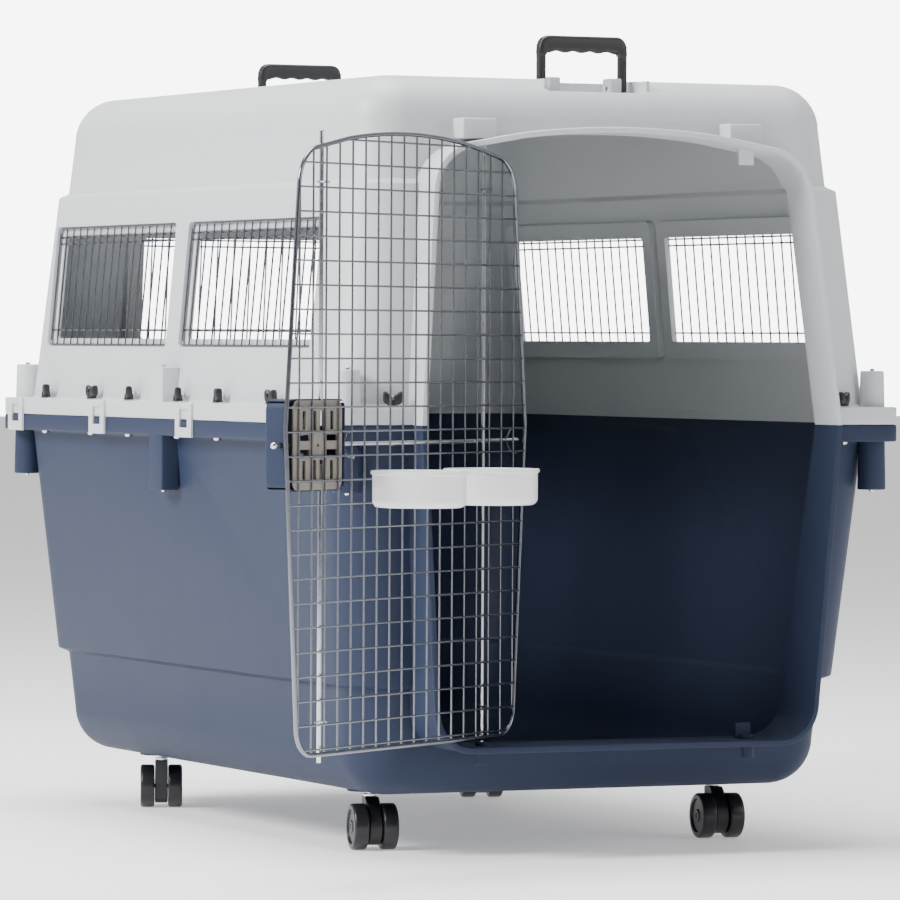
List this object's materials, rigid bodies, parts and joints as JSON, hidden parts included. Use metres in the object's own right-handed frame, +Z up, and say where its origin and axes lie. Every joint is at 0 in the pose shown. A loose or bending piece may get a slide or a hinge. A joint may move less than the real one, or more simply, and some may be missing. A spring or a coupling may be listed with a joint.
{
  "type": "dog crate",
  "caption": "Large two-shell travel crate for a dog, with a hinged wire door, wire window grilles, hang-on bowls, folding handles and swivelling twin-wheel casters.",
  "frame": {"origin": "centre of the lower shell's underside, between the pads of the casters", "axes": "+Z up, -Y out of the doorway, +Y along the long side towards the rear wall, +X to the right seen from the front"},
  "size_m": [1.0033, 1.4281, 1.052],
  "materials": {
    "grey_plastic": "light grey moulded shell, satin",
    "blue_plastic": "dark slate-blue moulded shell, satin",
    "black_plastic": "black moulded plastic, satin",
    "white_plastic": "white moulded bowl, semi-gloss",
    "beige_plastic": "warm grey moulded latch plate",
    "zinc_wire": "zinc-plated welded wire",
    "bright_steel": "bright plated rod"
  },
  "bodies": {
    "crate": {"bolt_front_left": "black_plastic", "bolt_front_right": "black_plastic", "bolt_left_1": "black_plastic", "bolt_left_2": "black_plastic", "bolt_left_3": "black_plastic", "bolt_left_4": "black_plastic", "bolt_left_5": "black_plastic", "bolt_left_6": "black_plastic", "bolt_right_1": "black_plastic", "bolt_right_2": "black_plastic", "bolt_right_3": "black_plastic", "bolt_right_4": "black_plastic", "bolt_right_5": "black_plastic", "bolt_right_6": "black_plastic", "caster_front_left_stem": "bright_steel", "caster_front_right_stem": "bright_steel", "caster_rear_left_stem": "bright_steel", "caster_rear_right_stem": "bright_steel", "grille_left_front": "zinc_wire", "grille_left_rear": "zinc_wire", "grille_rear": "zinc_wire", "grille_right_front": "zinc_wire", "grille_right_rear": "zinc_wire", "lower_shell": "blue_plastic", "tie_rod_front_left": "bright_steel", "tie_rod_front_right": "bright_steel", "tie_rod_mid_left": "bright_steel", "tie_rod_mid_right": "bright_steel", "tie_rod_rear_left": "bright_steel", "tie_rod_rear_right": "bright_steel", "upper_shell": "grey_plastic"},
    "door": {"door_grid": "zinc_wire", "hinge_rod": "bright_steel", "latch_housing": "blue_plastic", "latch_back_plate": "beige_plastic", "bowl_left_brace": "white_plastic", "bowl_right_brace": "white_plastic"},
    "latch_upper": {"latch_upper_rod": "bright_steel", "latch_upper_thumb": "beige_plastic"},
    "latch_lower": {"latch_lower_rod": "bright_steel", "latch_lower_thumb": "beige_plastic"},
    "latch_side": {"latch_side_bolt": "bright_steel"},
    "latch_long": {"latch_long_bolt": "bright_steel"},
    "bowl_left": {"bowl_left": "white_plastic"},
    "bowl_right": {"bowl_right": "white_plastic"},
    "handle_front": {"handle_front": "black_plastic"},
    "handle_rear": {"handle_rear": "black_plastic"},
    "swivel_front_left": {"caster_front_left_body": "black_plastic"},
    "wheel_front_left_left": {"caster_front_left_wheel_left": "black_plastic"},
    "wheel_front_left_right": {"caster_front_left_wheel_right": "black_plastic"},
    "swivel_front_right": {"caster_front_right_body": "black_plastic"},
    "wheel_front_right_left": {"caster_front_right_wheel_left": "black_plastic"},
    "wheel_front_right_right": {"caster_front_right_wheel_right": "black_plastic"},
    "swivel_rear_left": {"caster_rear_left_body": "black_plastic"},
    "wheel_rear_left_left": {"caster_rear_left_wheel_left": "black_plastic"},
    "wheel_rear_left_right": {"caster_rear_left_wheel_right": "black_plastic"},
    "swivel_rear_right": {"caster_rear_right_body": "black_plastic"},
    "wheel_rear_right_left": {"caster_rear_right_wheel_left": "black_plastic"},
    "wheel_rear_right_right": {"caster_rear_right_wheel_right": "black_plastic"}
  },
  "joints": [
    {"name": "bowl_left_lift", "type": "slide", "parent": "door", "child": "bowl_left", "axis": [0, 0, 1], "range_m": [0, 0.05]},
    {"name": "bowl_right_lift", "type": "slide", "parent": "door", "child": "bowl_right", "axis": [0, 0, 1], "range_m": [0, 0.05]},
    {"name": "door_hinge", "type": "hinge", "parent": "crate", "child": "door", "pos_m": [-0.191, -0.566, 0.45], "axis": [0, 0, 1], "range_deg": [0, 146.5]},
    {"name": "handle_front_fold", "type": "hinge", "parent": "crate", "child": "handle_front", "pos_m": [0, -0.455, 0.907], "axis": [-1, 0, 0], "range_deg": [0, 90]},
    {"name": "handle_rear_fold", "type": "hinge", "parent": "crate", "child": "handle_rear", "pos_m": [0, 0.455, 0.907], "axis": [1, 0, 0], "range_deg": [0, 90]},
    {"name": "latch_lower_slide", "type": "slide", "parent": "door", "child": "latch_lower", "axis": [0, 0, 1], "range_m": [0, 0.012]},
    {"name": "latch_side_slide", "type": "slide", "parent": "door", "child": "latch_side", "axis": [0.8339, 0.5519, 0], "range_m": [0, 0.006]},
    {"name": "latch_long_slide", "type": "slide", "parent": "door", "child": "latch_long", "axis": [-0.8339, -0.5519, 0], "range_m": [0, 0.006]},
    {"name": "latch_upper_slide", "type": "slide", "parent": "door", "child": "latch_upper", "axis": [0, 0, -1], "range_m": [0, 0.012], "stiffness_N_per_m": 300, "springref_m": -0.02},
    {"name": "swivel_front_left", "type": "hinge", "parent": "crate", "child": "swivel_front_left", "pos_m": [-0.25, -0.355, -0.03], "axis": [0, 0, 1], "continuous": true},
    {"name": "wheel_front_left_left_spin", "type": "hinge", "parent": "swivel_front_left", "child": "wheel_front_left_left", "pos_m": [-0.25374, -0.37261, -0.048], "axis": [-0.9781, 0.2079, 0], "continuous": true},
    {"name": "wheel_front_left_right_spin", "type": "hinge", "parent": "swivel_front_left", "child": "wheel_front_left_right", "pos_m": [-0.25374, -0.37261, -0.048], "axis": [-0.9781, 0.2079, 0], "continuous": true},
    {"name": "swivel_front_right", "type": "hinge", "parent": "crate", "child": "swivel_front_right", "pos_m": [0.25, -0.355, -0.03], "axis": [0, 0, 1], "continuous": true},
    {"name": "wheel_front_right_left_spin", "type": "hinge", "parent": "swivel_front_right", "child": "wheel_front_right_left", "pos_m": [0.24781, -0.37287, -0.048], "axis": [-0.9925, 0.1219, 0], "continuous": true},
    {"name": "wheel_front_right_right_spin", "type": "hinge", "parent": "swivel_front_right", "child": "wheel_front_right_right", "pos_m": [0.24781, -0.37287, -0.048], "axis": [-0.9925, 0.1219, 0], "continuous": true},
    {"name": "swivel_rear_left", "type": "hinge", "parent": "crate", "child": "swivel_rear_left", "pos_m": [-0.25, 0.355, -0.03], "axis": [0, 0, 1], "continuous": true},
    {"name": "wheel_rear_left_left_spin", "type": "hinge", "parent": "swivel_rear_left", "child": "wheel_rear_left_left", "pos_m": [-0.24326, 0.37169, -0.048], "axis": [0.9272, -0.3746, 0], "continuous": true},
    {"name": "wheel_rear_left_right_spin", "type": "hinge", "parent": "swivel_rear_left", "child": "wheel_rear_left_right", "pos_m": [-0.24326, 0.37169, -0.048], "axis": [0.9272, -0.3746, 0], "continuous": true},
    {"name": "swivel_rear_right", "type": "hinge", "parent": "crate", "child": "swivel_rear_right", "pos_m": [0.25, 0.355, -0.03], "axis": [0, 0, 1], "continuous": true},
    {"name": "wheel_rear_right_left_spin", "type": "hinge", "parent": "swivel_rear_right", "child": "wheel_rear_right_left", "pos_m": [0.25466, 0.37239, -0.048], "axis": [0.9659, -0.2588, 0], "continuous": true},
    {"name": "wheel_rear_right_right_spin", "type": "hinge", "parent": "swivel_rear_right", "child": "wheel_rear_right_right", "pos_m": [0.25466, 0.37239, -0.048], "axis": [0.9659, -0.2588, 0], "continuous": true}
  ],
  "couplings": [
    {"joint": "latch_lower_slide", "follows": "latch_upper_slide", "ratio": 1},
    {"joint": "latch_side_slide", "follows": "latch_upper_slide", "ratio": 0.5},
    {"joint": "latch_long_slide", "follows": "latch_upper_slide", "ratio": 0.5}
  ]
}
